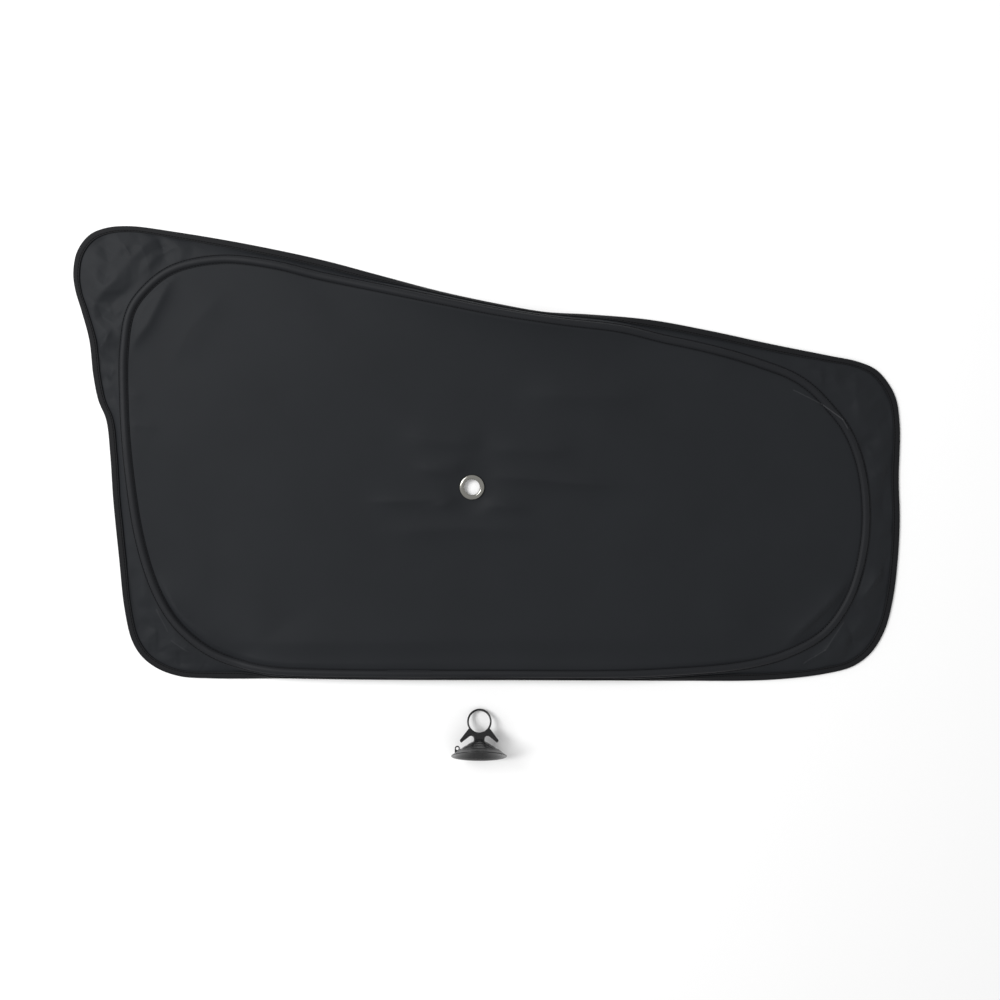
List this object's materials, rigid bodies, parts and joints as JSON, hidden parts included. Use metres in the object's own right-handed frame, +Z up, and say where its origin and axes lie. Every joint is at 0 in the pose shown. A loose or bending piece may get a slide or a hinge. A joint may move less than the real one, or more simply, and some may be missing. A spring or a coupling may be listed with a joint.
{
  "type": "car side window sunshade",
  "caption": "Pop-up sunshade for a car side window: black cloth held flat by a sprung wire hoop, with a bound edge, a central eyelet and a loose suction cup.",
  "frame": {"origin": "middle of the footprint of shade and suction cup together, on the floor they lie on", "axes": "+X along the shade towards its narrower, rounder end, +Y across it towards the sloping upper edge, +Z up from the floor, out of the face with the tape channel"},
  "size_m": [0.8272, 0.5356, 0.0478],
  "materials": {
    "panel_cloth": "black coated polyester with a faint satin sheen",
    "hoop_tape": "black woven tape, matt",
    "edge_binding": "black ribbed binding tape, matt",
    "spring_steel": "bright drawn spring wire",
    "nickel": "polished nickel plate",
    "vinyl": "black soft vinyl with a low gloss"
  },
  "bodies": {
    "root": {"shade_panel": "panel_cloth", "hoop_tape": "hoop_tape", "spring_hoop": "spring_steel", "hoop_sleeve": "spring_steel", "edge_binding": "edge_binding", "eyelet": "nickel", "eyelet_washer": "nickel", "suction_cup": "vinyl"}
  },
  "joints": []
}
